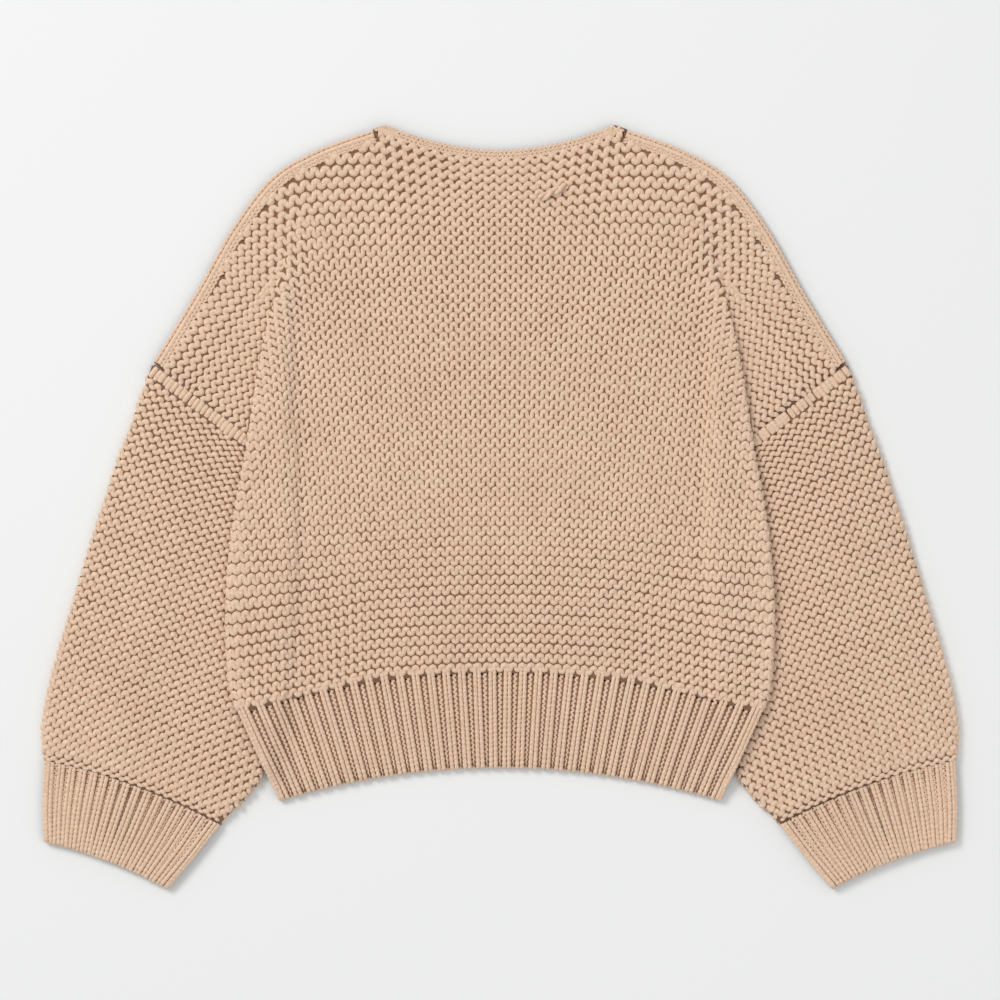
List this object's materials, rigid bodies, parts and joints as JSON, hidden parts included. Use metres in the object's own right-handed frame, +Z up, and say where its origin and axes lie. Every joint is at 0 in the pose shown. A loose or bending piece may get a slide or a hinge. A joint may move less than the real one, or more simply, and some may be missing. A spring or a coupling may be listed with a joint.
{
  "type": "cardigan",
  "caption": "Chunky garter-stitch cardigan with dropped shoulders, full sleeves and ribbed hem and cuffs, laid flat face down.",
  "frame": {"origin": "middle of the laid garment's outline, on the surface that it lies on", "axes": "+X across the garment to the viewer's right, +Y from the hem to the neck, +Z up, away from the surface"},
  "size_m": [0.8536, 0.7108, 0.0189],
  "materials": {
    "garter": "matt chunky yarn knitted in garter stitch",
    "rib": "matt chunky yarn knitted in a two-by-two rib"
  },
  "bodies": {
    "root": {"back": "garter", "front_left": "garter", "front_right": "garter", "sleeve_left": "garter", "sleeve_right": "garter", "cuff_left": "rib", "cuff_right": "rib", "hem_rib_back": "rib", "hem_rib_front_left": "rib", "hem_rib_front_right": "rib", "neck_band_back": "rib", "neck_band_front_left": "rib", "neck_band_front_right": "rib", "front_band_left": "rib", "front_band_right": "rib"}
  },
  "joints": []
}
